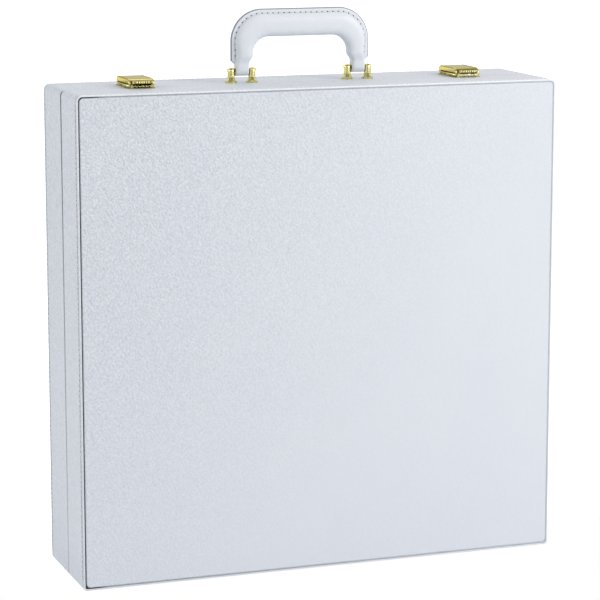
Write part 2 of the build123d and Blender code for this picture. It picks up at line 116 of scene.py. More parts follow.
def poplar_ply(direction):
    material = new_material("poplar_ply_" + direction)
    place = add(material, "ShaderNodeTexCoord").outputs["Object"]
    stretched = add(material, "ShaderNodeMapping", {"Vector": place, "Scale": board_grain[direction]})
    grain = add(material, "ShaderNodeTexNoise", {
        "Vector": stretched, "Scale": 1000 / grain_width, "Detail": 4.0, "Roughness": 0.6,
    })
    blotch = add(material, "ShaderNodeTexNoise", {
        "Vector": place, "Scale": 1000 / blotch_width, "Detail": 2.0,
    })
    light = add(material, "ShaderNodeMix", {
        0: blotch, 6: linear("#D9BE92"), 7: linear("#CBA878"),
    }, data_type="RGBA")
    lines = add(material, "ShaderNodeMapRange", {
        "Value": grain, "From Min": 0.45, "From Max": 0.75, "To Max": 0.7,
    })
    colour = add(material, "ShaderNodeMix", {0: lines, 6: light, 7: linear("#A67F52")}, data_type="RGBA")
    bump = add(material, "ShaderNodeBump", {"Height": grain, "Strength": 0.5, "Distance": 0.0002})
    rough = add(material, "ShaderNodeMapRange", {"Value": grain, "To Min": 0.55, "To Max": 0.8})
    surface(material, {
        "Base Color": colour, "Roughness": rough, "IOR": 1.5,
        "Normal": bump,
    })
    return material


ply_across = poplar_ply("across_the_case")
ply_up = poplar_ply("up_the_case")
for shell in ("lid", "base"):
    dress(ply_across, shell + "_top_board", shell + "_bottom_board", shell + "_face_board")
    dress(ply_up, shell + "_side_boards")


# Covering: white leatherette glued round the boards of each shell and turned in at its edges, and the same
# leatherette wrapped round a thin panel that is pressed into each face. A narrow groove is left all round.
case_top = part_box("base_wrap")[1].z
stitch_from_face = 0.004
seam_plane = cad_high.y - stitch_from_face
parting_plane = (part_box("lid_wrap")[1].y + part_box("base_wrap")[0].y) / 2
rim_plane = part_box("base_wrap")[1].y
bend_start = 0.003
bend_end = 0.001


# A band is a line along the edges of the case that takes painted shade, or on the rims a painted highlight,
# and that a row of thread can sink. Its share on the top differs from its share on the sides.
def band_mask(material, place, band):
    axes = add(material, "ShaderNodeSeparateXYZ", {"Vector": place})
    y = axes.outputs["Y"]
    if band["both_faces"]:
        y = add(material, "ShaderNodeMath", {0: y}, operation="ABSOLUTE")
    away = add(material, "ShaderNodeMath", {0: y, 1: band["plane"]}, operation="SUBTRACT")
    off = add(material, "ShaderNodeMath", {0: away}, operation="ABSOLUTE")
    near = add(material, "ShaderNodeMapRange", {
        "Value": off, "From Min": band["core"], "From Max": band["half_width"], "To Min": 1.0, "To Max": 0.0,
    }, interpolation_type="SMOOTHSTEP")
    rising = add(material, "ShaderNodeMapRange", {
        "Value": axes.outputs["Z"], "From Max": case_top, "To Min": band["foot"], "To Max": 1.0,
    })
    sideways = add(material, "ShaderNodeMath", {0: axes.outputs["X"]}, operation="ABSOLUTE")
    on_side = add(material, "ShaderNodeMapRange", {
        "Value": sideways, "From Min": cad_high.x - bend_start, "From Max": cad_high.x - bend_end,
        "To Min": band["top_share"], "To Max": 1.0,
    })
    mask = add(material, "ShaderNodeMath", {0: near, 1: rising}, operation="MULTIPLY")
    return add(material, "ShaderNodeMath", {0: mask, 1: on_side}, operation="MULTIPLY")


# PVC on a cloth backing, embossed with a fine pebble: a cool off-white with a low satin shine, broken up by
# the grain. The pebble is drawn about twice as coarse as the real one, so that it shows in the render.
# Painted shade darkens the creases between the pebbles and the diagonal folds towards the third colour. The
# relief and this painted shade are deepest at the upper left and fade towards the lower right, as grazing
# light from the upper left would show them.
patch_width = 7
cloud_width = 90
warp_reach = 0.0006
patch_height = 0.0006
fold_height = 0.0009
fold_share = 0.42
fold_angle = math.radians(-32)
fade_direction = (-2.75, 0.0, 2.0)
fade_start, fade_end = 0.14, 1.29
least_relief, most_relief = 0.12, 1.3


def leatherette(name, colours, pebble, depth, shine, crease, bands=()):
    material = new_material(name)
    place = add(material, "ShaderNodeTexCoord").outputs["Object"]
    warp = add(material, "ShaderNodeTexNoise", {"Vector": place, "Scale": 1000 / (3 * pebble), "Detail": 1.0})
    shift = add(material, "ShaderNodeVectorMath", {
        0: warp.outputs["Color"], 1: (warp_reach, warp_reach, warp_reach), 2: place,
    }, operation="MULTIPLY_ADD")
    pebbles = {"Vector": shift, "Scale": 1000 / pebble, "Randomness": 0.9}
    cells = add(material, "ShaderNodeTexVoronoi", pebbles, feature="SMOOTH_F1")
    creases = add(material, "ShaderNodeTexVoronoi", pebbles, feature="DISTANCE_TO_EDGE")
    patches = add(material, "ShaderNodeTexNoise", {
        "Vector": place, "Scale": 1000 / patch_width, "Detail": 3.0,
    })
    broad = add(material, "ShaderNodeTexNoise", {"Vector": place, "Scale": 1000 / cloud_width, "Detail": 2.0})
    tone = add(material, "ShaderNodeMix", {
        0: broad, 6: linear(colours[0]), 7: linear(colours[1]),
    }, data_type="RGBA")
    # Painted shade: the creases between the pebbles are darkened towards the third colour, more where the
    # relief is deeper
    hollow = add(material, "ShaderNodeMapRange", {
        "Value": creases, "From Max": 0.16, "To Min": 0.55, "To Max": 0.0,
    })
    crease_shade = add(material, "ShaderNodeMath", {0: hollow, 1: patches}, operation="MULTIPLY")
    height = add(material, "ShaderNodeMapRange", {
        "Value": cells, "From Max": 0.8, "To Min": 1.0, "To Max": 0.0,
    })
    across = add(material, "ShaderNodeVectorMath", {0: place, 1: fade_direction}, operation="DOT_PRODUCT")
    relief = add(material, "ShaderNodeMapRange", {
        "Value": across, "From Min": fade_start, "From Max": fade_end,
        "To Min": least_relief, "To Max": most_relief,
    })
    shaded = add(material, "ShaderNodeMath", {0: crease_shade, 1: relief}, operation="MULTIPLY")
    colour = add(material, "ShaderNodeMix", {0: shaded, 6: tone, 7: linear(colours[2])}, data_type="RGBA")
    slant = add(material, "ShaderNodeMapping", {
        "Vector": shift, "Rotation": (0.0, fold_angle, 0.0), "Scale": (1.0, 1.0, 0.5),
    }, vector_type="TEXTURE")
    stretch = add(material, "ShaderNodeVectorMath", {0: slant, 1: (1.0, 1.0, 0.45)}, operation="MULTIPLY")
    folds = add(material, "ShaderNodeTexNoise", {
        "Vector": stretch, "Scale": 1000 / (1.1 * pebble), "Detail": 1.0,
    })
    # Painted shade along the diagonal folds, darkening the colour towards the third colour
    fold_tone = add(material, "ShaderNodeMapRange", {
        "Value": folds, "From Min": 0.3, "From Max": 0.7, "To Min": 0.3, "To Max": -0.3,
    })
    fold_depth = add(material, "ShaderNodeMath", {0: relief, 1: crease}, operation="MULTIPLY")
    fold_shade = add(material, "ShaderNodeMath", {
        0: fold_tone, 1: fold_depth, 2: fold_share * crease,
    }, operation="MULTIPLY_ADD")
    colour = add(material, "ShaderNodeMix", {0: fold_shade, 6: colour, 7: linear(colours[2])}, data_type="RGBA")
    deep_folds = add(material, "ShaderNodeMath", {0: folds, 1: relief}, operation="MULTIPLY")
    deep_pebble = add(material, "ShaderNodeMath", {0: height, 1: relief}, operation="MULTIPLY")
    soft = add(material, "ShaderNodeBump", {"Height": patches, "Strength": 0.25, "Distance": patch_height})
    normal = add(material, "ShaderNodeBump", {
        "Height": deep_folds, "Strength": 1.0, "Distance": crease * fold_height,
        "Normal": soft,
    })
    # Each band mixes its painted shade or painted highlight into the colour, and sinks the surface by its
    # bump
    for band in bands:
        mask = band_mask(material, place, band)
        painted_light_share = add(material, "ShaderNodeMath", {0: mask, 1: band["painted_light_share"]}, operation="MULTIPLY")
        colour = add(material, "ShaderNodeMix", {
            0: painted_light_share, 6: colour, 7: linear(band["colour"]),
        }, data_type="RGBA")
        normal = add(material, "ShaderNodeBump", {
            "Height": mask, "Strength": 0.8, "Distance": band["sink"], "Normal": normal,
        }, invert=True)
    pebbled = add(material, "ShaderNodeBump", {
        "Height": deep_pebble, "Strength": 1.0, "Distance": depth / 1000, "Normal": normal,
    })
    rough = add(material, "ShaderNodeMapRange", {
        "Value": patches, "To Min": shine - 0.06, "To Max": shine + 0.08,
    })
    surface(material, {
        "Base Color": colour, "Roughness": rough, "IOR": 1.5,
        "Normal": pebbled,
    })
    return material


# Painted shade along the row of stitches, where the thread also sinks the covering, and painted shade in the
# gap where the shells meet
seam_shade_band = {
    "plane": seam_plane, "both_faces": True, "core": 0.0008, "half_width": 0.0024, "foot": 1.0,
    "top_share": 0.3, "colour": "#A4AAB6", "painted_light_share": 0.45, "sink": 0.0005,
}
parting_shade_band = {
    "plane": parting_plane, "both_faces": False, "core": 0.001, "half_width": 0.0026, "foot": 0.2,
    "top_share": 0.1, "colour": "#4A4F5A", "painted_light_share": 1.0, "sink": 0.0001,
}
# A painted highlight: a white line along each rim beside the groove, where the rounded edge of the covering
# would catch the light
rim_highlight_band = {
    "plane": rim_plane, "both_faces": True, "core": 0.0003, "half_width": 0.0012, "foot": 0.3,
    "top_share": 1.0, "colour": "#FFFFFF", "painted_light_share": 0.42, "sink": 0.0,
}
# Two tones of the covering, and the painted shade for its creases
cover_tones_and_crease_shade = ("#E5E9EF", "#E0E4EB", "#A3AAB6")
shell_bands = (seam_shade_band, parting_shade_band, rim_highlight_band)
shell_pvc = leatherette("pebbled_white_pvc_shell", cover_tones_and_crease_shade, 1.9, 0.16, 0.46, 0.5, shell_bands)
panel_pvc = leatherette("pebbled_white_pvc_panel", cover_tones_and_crease_shade, 1.9, 0.16, 0.46, 0.5)
for shell in ("lid", "base"):
    dress(shell_pvc, shell + "_wrap", shell + "_bottom_strip")
    dress(panel_pvc, shell + "_face_panel")


# Groove lining: the covering of the shell is turned down into the groove round each panel and pressed in with
# a bone folder. It is tight along the top, the bottom and the right, and deep down the left, where its
# painted shade is darkest.
def mesh_piece(name, mesh, *materials):
    for material in materials:
        mesh.materials.append(material)
    piece = bpy.data.objects.new(name, mesh)
    scene.collection.objects.link(piece)
    return piece


def finished_mesh(name, build, smooth=True):
    bmesh.ops.recalc_face_normals(build, faces=build.faces)
    mesh = bpy.data.meshes.new(name)
    build.to_mesh(mesh)
    build.free()
    mesh.polygons.foreach_set("use_smooth", [smooth] * len(mesh.polygons))
    return mesh


def join_rings(build, rings, caps=True):
    for ring, following in zip(rings, rings[1:]):
        for i, corner in enumerate(ring):
            j = (i + 1) % len(ring)
            build.faces.new((corner, ring[j], following[j], following[i]))
    if caps:
        build.faces.new(rings[0])
        build.faces.new(rings[-1])


corner_steps = 8
edge_splits = 24


# A loop of points round the groove, with a radius of its own at the two lower corners
def rounded_loop(build, half_width, low, high, radius, foot_radius, depth_at):
    spots = []
    for x, z, bend, first in (
        (half_width, high, radius, 0), (-half_width, high, radius, 90),
        (-half_width, low, foot_radius, 180), (half_width, low, foot_radius, 270),
    ):
        centre_x = x - math.copysign(bend, x)
        centre_z = z - bend if z == high else z + bend
        for step in range(corner_steps + 1):
            turn = math.radians(first + 90 * step / corner_steps)
            spots.append(Vector((centre_x + bend * math.cos(turn), 0, centre_z + bend * math.sin(turn))))
    loop = []
    for index, spot in enumerate(spots):
        following = spots[(index + 1) % len(spots)]
        splits = edge_splits if index % (corner_steps + 1) == corner_steps else 1
        for split in range(splits):
            place = spot.lerp(following, split / splits)
            loop.append(build.verts.new((place.x, depth_at(place.x), place.z)))
    return loop


# Turned-in leatherette: the same covering painted a greyer tone as shade, and darkened with painted shade
# towards the floor of the groove
groove_depth = 0.0022
groove_floor = cad_high.y - groove_depth
left_height, middle_height, right_height = 0.0003, 0.0015, 0.00172
groove_shade_band = {
    "plane": groove_floor, "both_faces": True, "core": 0.0006, "half_width": 0.0017, "foot": 1.0,
    "top_share": 1.0, "colour": "#33373F", "painted_light_share": 1.0, "sink": 0.0001,
}
turned_in_shaded_tones = ("#C4C9D2", "#B9BFC9", "#8D94A1")
turned_in_shaded_pvc = leatherette("turned_in_white_pvc_painted_shade", turned_in_shaded_tones, 1.9, 0.1, 0.5, 0.3, (groove_shade_band,))
rim_inside = 0.0015
lining_overlap = 0.0001
lining_thickness = 0.0001
lining_bow = 0.0002
lining_corner = 0.0035
foot_corner = 0.0006
# It lies deep for the first 3 mm from the left corner and comes up over the next 11 mm
left_rise = 40
left_offset = 0.3
for shell, outward in (("lid", -1), ("base", 1)):
    panel_low, panel_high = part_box(shell + "_face_panel")
    panel_half = panel_high.x - lining_overlap
    rim_half = cad_high.x - rim_inside + lining_overlap

    def lining_surface(x):
        share = (x + rim_half) / (2 * rim_half)
        ease = max(0.0, min(1.0, share * left_rise - left_offset))
        height = left_height + (middle_height - left_height) * ease + (right_height - middle_height) * share
        return outward * (groove_floor + height)

    def lining_back(x):
        return outward * (groove_floor - lining_thickness)

    build = bmesh.new()
    grow = rim_half - panel_half
    foot, head = panel_low.z + lining_overlap, panel_high.z - lining_overlap
    inner = (panel_half, foot, head, lining_corner, lining_corner)
    outer = (rim_half, foot - grow, head + grow, lining_corner + grow, foot_corner)
    middle = tuple((a + b) / 2 for a, b in zip(inner, outer))
    loops = [rounded_loop(build, *inner, lining_surface), rounded_loop(build, *middle, lining_surface)]
    for spot in loops[1]:
        spot.co.y -= outward * lining_bow
    loops.append(rounded_loop(build, *outer, lining_surface))
    loops += [rounded_loop(build, *outer, lining_back), rounded_loop(build, *inner, lining_back)]
    join_rings(build, loops + loops[:1], caps=False)
    lining = mesh_piece(shell + "_groove_lining", finished_mesh("groove_lining", build), turned_in_shaded_pvc)
    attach(lining, shell)


# Edge stitching: one row of polyester thread close to each face, up both sides and along the top, which holds
# the turned edge of the covering. Each stitch is a short loop of thread that dips into the cloth at its ends,
# and the needle leaves a slot there, drawn as a small dark piece of painted shade.
stitch_sides = 6
stitch_steps = 6
stitch_rise = 0.75
stitch_dip = 1.5
stitch_taper = 0.45


def ring_about(build, centre, across, up, sides):
    turns = [2 * math.pi * side / sides for side in range(sides)]
    return [build.verts.new(centre + across * math.cos(turn) + up * math.sin(turn)) for turn in turns]


def sew(build, start, end, outward, radius, lift=1.0):
    along = (end - start).normalized()
    across = along.cross(outward)
    rings = []
    for step in range(stitch_steps + 1):
        share = 2 * step / stitch_steps - 1
        rise = radius * lift * (stitch_rise - stitch_dip * share ** 4)
        centre = start.lerp(end, step / stitch_steps) + outward * rise
        thick = radius * (1 - stitch_taper * share ** 4)
        rings.append(ring_about(build, centre, across * thick, outward * thick * lift, stitch_sides))
    join_rings(build, rings)


# Bonded polyester thread: a matt white filament with a soft sheen, slightly warmer than the covering. Its
# twist is drawn several times as coarse as the real one, so that it shows, and its grooves are darkened with
# painted shade.
twist_pitch = 2.5
thread = new_material("bonded_polyester_thread")
thread_place = add(thread, "ShaderNodeTexCoord").outputs["Object"]
ply_twist = add(thread, "ShaderNodeTexWave", {
    "Vector": thread_place, "Scale": 1000 / twist_pitch, "Distortion": 1.5, "Detail": 1.0,
}, bands_direction="DIAGONAL")
thread_twist_shade_colour = add(thread, "ShaderNodeMix", {
    0: ply_twist.outputs["Fac"], 6: linear("#D5D9E0"), 7: linear("#F0F2F5"),
}, data_type="RGBA")
thread_bump = add(thread, "ShaderNodeBump", {
    "Height": ply_twist.outputs["Fac"], "Strength": 0.6, "Distance": 0.0001,
})
surface(thread, {
    "Base Color": thread_twist_shade_colour, "Roughness": 0.55, "IOR": 1.5, "Sheen Weight": 0.3,
    "Normal": thread_bump,
})


# A plain finish clouded between two near tones, in spots of a width in millimetres
def mottled(name, dark, light, spot_width, detail=2.0):
    material = new_material(name)
    place = add(material, "ShaderNodeTexCoord").outputs["Object"]
    cloud = add(material, "ShaderNodeTexNoise", {
        "Vector": place, "Scale": 1000 / spot_width, "Detail": detail,
    })
    colour = add(material, "ShaderNodeMix", {0: cloud, 6: linear(dark), 7: linear(light)}, data_type="RGBA")
    return material, cloud, colour


# Needle slot: painted shade standing for the shadow inside a hole in white leatherette, a soft dark grey
needle_slot, slot_cloud, slot_shade_colour = mottled("pierced_leatherette_slot_shade", "#2E323B", "#595F6A", 0.8)
slot_rough = add(needle_slot, "ShaderNodeMapRange", {"Value": slot_cloud, "To Min": 0.8, "To Max": 1.0})
surface(needle_slot, {"Base Color": slot_shade_colour, "Roughness": slot_rough, "IOR": 1.5})

stitch_pitch = 0.0045
stitch_length = 0.0031
side_thread = 0.00042
top_thread = 0.00026
slot_reach = 0.0005
row_margin = 0.009
side_slot = 0.00075
top_slot = 0.00022
slot_lift = 0.12


# A row of stitches from start to end, with the slots between them
def stitch_row(threads, slots, start, end, outward, thread_radius, slot_radius):
    run = end - start
    count = int(run.length / stitch_pitch)
    step = run / count
    along = run.normalized()
    for index in range(count):
        middle = start + step * (index + 0.5)
        half = along * stitch_length / 2
        sew(threads, middle - half, middle + half, outward, thread_radius)
        hole = start + step * (index + 1)
        sew(slots, hole - along * slot_reach, hole + along * slot_reach, outward, slot_radius, lift=slot_lift)


for shell, y in (("lid", -seam_plane), ("base", seam_plane)):
    low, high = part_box(shell + "_wrap")
    threads, slots = bmesh.new(), bmesh.new()
    for side in (-1, 1):
        foot = Vector((side * high.x, y, low.z + row_margin / 2))
        head = Vector((side * high.x, y, high.z - row_margin))
        stitch_row(threads, slots, foot, head, Vector((side, 0, 0)), side_thread, side_slot)
    left = Vector((low.x + row_margin, y, high.z))
    right = Vector((high.x - row_margin, y, high.z))
    stitch_row(threads, slots, left, right, Vector((0, 0, 1)), top_thread, top_slot)
    stitching = mesh_piece(shell + "_edge_stitching", finished_mesh("stitching", threads), thread)
    holes = mesh_piece(shell + "_edge_needle_slots", finished_mesh("needle_slots", slots), needle_slot)
    for piece in (stitching, holes):
        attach(piece, shell)


# Velvet: the walls and the dividers inside are covered with short rayon velvet, glued down flat.
# Its pile takes the light at its edges and soaks it up face on, so the blue looks deep and a little cloudy.
brushed_width = 22
tuft_width = 0.7


def pile_velvet(name, dark, light):
    material = new_material(name)
    place = add(material, "ShaderNodeTexCoord").outputs["Object"]
    brushed = add(material, "ShaderNodeTexNoise", {
        "Vector": place, "Scale": 1000 / brushed_width, "Detail": 4.0, "Roughness": 0.6,
    })
    tufts = add(material, "ShaderNodeTexNoise", {"Vector": place, "Scale": 1000 / tuft_width, "Detail": 2.0})
    both = add(material, "ShaderNodeMath", {0: brushed, 1: tufts}, operation="MULTIPLY")
    share = add(material, "ShaderNodeMapRange", {"Value": both, "From Min": 0.12, "From Max": 0.4})
    colour = add(material, "ShaderNodeMix", {0: share, 6: linear(dark), 7: linear(light)}, data_type="RGBA")
    bump = add(material, "ShaderNodeBump", {"Height": tufts, "Strength": 0.7, "Distance": 0.0004})
    rough = add(material, "ShaderNodeMapRange", {"Value": tufts, "To Min": 0.85, "To Max": 1.0})
    surface(material, {
        "Base Color": colour, "Roughness": rough, "IOR": 1.45,
        "Sheen Weight": 0.6, "Sheen Roughness": 0.4, "Normal": bump,
    })
    return material


velvet = pile_velvet("blue_rayon_velvet", "#1C2A4D", "#31457A")
dress(velvet, "lid_wall_lining", "base_wall_lining")
dress(velvet, "tray_cross_dividers", "tray_tall_piece_dividers", "tray_pawn_dividers")


# Tray floor: velvet over a thin sheet of foam behind the dividers. The pieces have pressed a shallow hollow
# into each cell, while the dividers keep it level along their edges.
divider_width = 0.003
tall_cell = 0.108
pawn_cell = 0.062
cell_counts = (8, 4, 1, 4, 8)
hollow_depth = 0.0011
hollow_slope = 0.016
floor_low, floor_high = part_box("tray_floor_pad")
inner_height = floor_high.z - floor_low.z
middle_bay = inner_height - 2 * (tall_cell + pawn_cell) - 4 * divider_width
row_heights = (tall_cell, pawn_cell, middle_bay, pawn_cell, tall_cell)


def from_divider(value, length, cells):
    cell = (length - (cells - 1) * divider_width) / cells
    place = value % (cell + divider_width)
    return min(place, cell - place)


def floor_hollow(x, z):
    level = z - floor_low.z
    for height, cells in zip(row_heights, cell_counts):
        if level <= height:
            across = from_divider(x - floor_low.x, floor_high.x - floor_low.x, cells)
            near = min(across, level, height - level)
            share = max(0.0, min(1.0, near / hollow_slope))
            return hollow_depth * share * share * (3 - 2 * share)
        level -= height + divider_width
        if level <= 0:
            return 0.0
    return 0.0


def padded_sheet(name, low, high, columns, rows, front, depth_at):
    build = bmesh.new()
    back = high.y if front == low.y else low.y
    inward = 1 if back > front else -1
    rims = []
    for level in (front, back):
        grid = []
        for row in range(rows + 1):
            z = low.z + (high.z - low.z) * row / rows
            line = []
            for column in range(columns + 1):
                x = low.x + (high.x - low.x) * column / columns
                y = level + inward * depth_at(x, z) if level == front else level
                line.append(build.verts.new((x, y, z)))
            grid.append(line)
        for line, above in zip(grid, grid[1:]):
            for column in range(columns):
                build.faces.new((line[column], line[column + 1], above[column + 1], above[column]))
        right_edge = [line[-1] for line in grid[1:]]
        left_edge = [line[0] for line in grid[-2:0:-1]]
        rims.append(grid[0] + right_edge + grid[-1][-2::-1] + left_edge)
    join_rings(build, rims, caps=False)
    return finished_mesh(name, build)


floor_grid = (180, 170)
floor_mesh = padded_sheet("tray_floor", floor_low, floor_high, *floor_grid, floor_low.y, floor_hollow)
tray_floor = mesh_piece("tray_floor_velvet_pad", floor_mesh, velvet)
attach(tray_floor, "base")
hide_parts("tray_floor_pad")


# Lid packing: five battens on the face board carry a board, with a foam pad in velvet glued to it. Five rows
# of stitching draw the velvet down to the board, so the foam stands up between them in soft ribs.
dress(ply_across, "lid_battens", "lid_pad_board")

channel_count = 5
channel_depth = 0.0026
channel_half_width = 0.0048
pad_round = 0.006
pad_fullness = 2.4
pad_give = 0.75
pad_grid = (288, 150)
pucker_depth = 0.00045
pucker_pitch = 0.011
pad_low, pad_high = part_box("lid_pad")
pad_thickness = pad_high.y - pad_low.y
channel_pitch = (pad_high.x - pad_low.x) / (channel_count + 1)
pucker_phases = [random.uniform(0, 2 * math.pi) for _ in range(channel_count + 2)]


def rounded_edge(distance):
    if distance >= pad_round:
        return 0.0
    share = 1 - distance / pad_round
    return pad_thickness * pad_give * (1 - (1 - share ** pad_fullness) ** (1 / pad_fullness))


def pad_hollow(x, z):
    edge = min(x - pad_low.x, pad_high.x - x, z - pad_low.z, pad_high.z - z)
    place = (x - pad_low.x) / channel_pitch
    index = round(place)
    depth = rounded_edge(max(edge, 0.0))
    if 0 < index <= channel_count:
        away = abs(place - index) * channel_pitch
        share = max(0.0, 1 - away / channel_half_width)
        pucker = math.sin(z / pucker_pitch * 2 * math.pi + pucker_phases[index])
        crease = max(0.0, 1 - away / (3 * channel_half_width))
        depth = max(depth, channel_depth * share ** 1.5)
        depth += pucker_depth * crease ** 2 * (0.5 + 0.5 * pucker)
    return min(depth, pad_thickness * pad_give)


pad_mesh = padded_sheet("lid_pad_foam", pad_low, pad_high, *pad_grid, pad_high.y, pad_hollow)
lid_pad = mesh_piece("lid_velvet_pad", pad_mesh, velvet)
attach(lid_pad, "lid")
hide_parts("lid_pad")


# Hinge: one brass piano hinge along the bottom edge, two rolled leaves on a wire. A row of screws holds each
# leaf to the bottom board of its shell.

# Rolled and polished brass under clear lacquer: a pale gold mirror with fine rubbing marks, darkened to olive
# deep in corners and narrow gaps, within about 2 mm of another surface
rub_width = 0.4
sheen_width = 5
corner_reach = 0.0022


def brass(name, bright, light, deep, roughness):
    material = new_material(name)
    place = add(material, "ShaderNodeTexCoord").outputs["Object"]
    stretched = add(material, "ShaderNodeMapping", {"Vector": place, "Scale": (1.0, 0.12, 1.0)})
    marks = add(material, "ShaderNodeTexNoise", {
        "Vector": stretched, "Scale": 1000 / rub_width, "Detail": 3.0,
    })
    cloud = add(material, "ShaderNodeTexNoise", {"Vector": place, "Scale": 1000 / sheen_width, "Detail": 2.0})
    reach = add(material, "ShaderNodeAmbientOcclusion", {"Distance": corner_reach}, samples=6)
    corner = add(material, "ShaderNodeMapRange", {
        "Value": reach.outputs["AO"], "From Min": 0.3, "From Max": 0.85, "To Min": 0.95, "To Max": 0.0,
    })
    polish = add(material, "ShaderNodeMix", {0: cloud, 6: linear(bright), 7: linear(light)}, data_type="RGBA")
    colour = add(material, "ShaderNodeMix", {0: corner, 6: polish, 7: linear(deep)}, data_type="RGBA")
    rough = add(material, "ShaderNodeMapRange", {
        "Value": marks, "To Min": roughness - 0.05, "To Max": roughness + 0.08,
    })
    bump = add(material, "ShaderNodeBump", {"Height": marks, "Strength": 0.12, "Distance": 0.00004})
    surface(material, {
        "Base Color": colour, "Metallic": 1.0, "Roughness": rough,
        "Specular Tint": linear("#E6DCB0"), "Normal": bump,
    })
    return material


polished_brass = brass("lacquered_polished_brass", "#D0C27A", "#DDD396", "#3A310D", 0.13)
dress(polished_brass, "lid_hinge_leaf", "base_hinge_leaf", "hinge_pin")
dress(polished_brass, "lid_hinge_screws", "base_hinge_screws")


# Latches: on each side a stamped brass hasp turns on a pin between two lugs of the base plate, and hooks over
# the keeper on the lid. A leaf spring of bright steel under the hasp throws it open.
dress(polished_brass, "latch_hasp_left", "latch_hasp_right", "latch_bases", "latch_keepers")
dress(polished_brass, "latch_hinge_pins", "latch_base_screws", "latch_keeper_screws", "latch_spring_rivets")

# Dark brass: a brown-black copy of the brass, painted shade in the hollow of the left keeper, which makes its
# arches stand out, and in the hollows above the rolled side edges
brass_painted_shade = brass("brass_painted_shade_hollow", "#3C3312", "#54481C", "#17130A", 0.35)
# Buffed brass: a brighter, yellower copy of the brass, partly the polish that fingers rub up and partly a
# painted highlight, on the thumb beads, the left keeper's arches and the handle posts and pins
buffed_brass_painted_highlight = brass("buffed_brass_painted_highlight", "#EBE08A", "#F6EFB4", "#4A4010", 0.1)
# Cream brass: an almost cream copy of the brass with a satin face, a painted highlight on the right keeper's
# hollow and arches
cream_brass_highlight = brass("cream_satin_brass_painted_highlight", "#FBF6D8", "#FFFCEB", "#B8AE70", 0.32)

bead_count = 6
bead_pitch = 0.0021
bead_radius = 0.00105
bead_squeeze = 0.92
bead_stretch = 1.15
bead_segments, bead_rings = 12, 8
lip_rise = 0.0056
lip_proud = 0.0002
border_half = 0.0108
border_radius = 0.00028
border_back = 0.0045
border_front = 0.001
border_bend = 0.005
border_steps = 6
roll_front = 0.0045
roll_back = 0.0055
roll_level, roll_proud, roll_tall = 0.0012, 0.00045, 0.0009
hollow_level, hollow_proud, hollow_tall = 0.0026, 0.00015, 0.0006
recess_low, recess_high = 0.0007, 0.0037
recess_corners = ((-1, recess_low), (1, recess_low), (1, recess_high), (-1, recess_high))
recess_proud = 0.00012
recess_thickness = 0.0005
arch_count = 5
arch_pitch = 0.0033
arch_radius = 0.0012
arch_wire = 0.00032
arch_foot = 0.0012
arch_steps = 8
wire_sides = 6
roll_sides = 8
keeper_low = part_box("latch_keepers")[0]
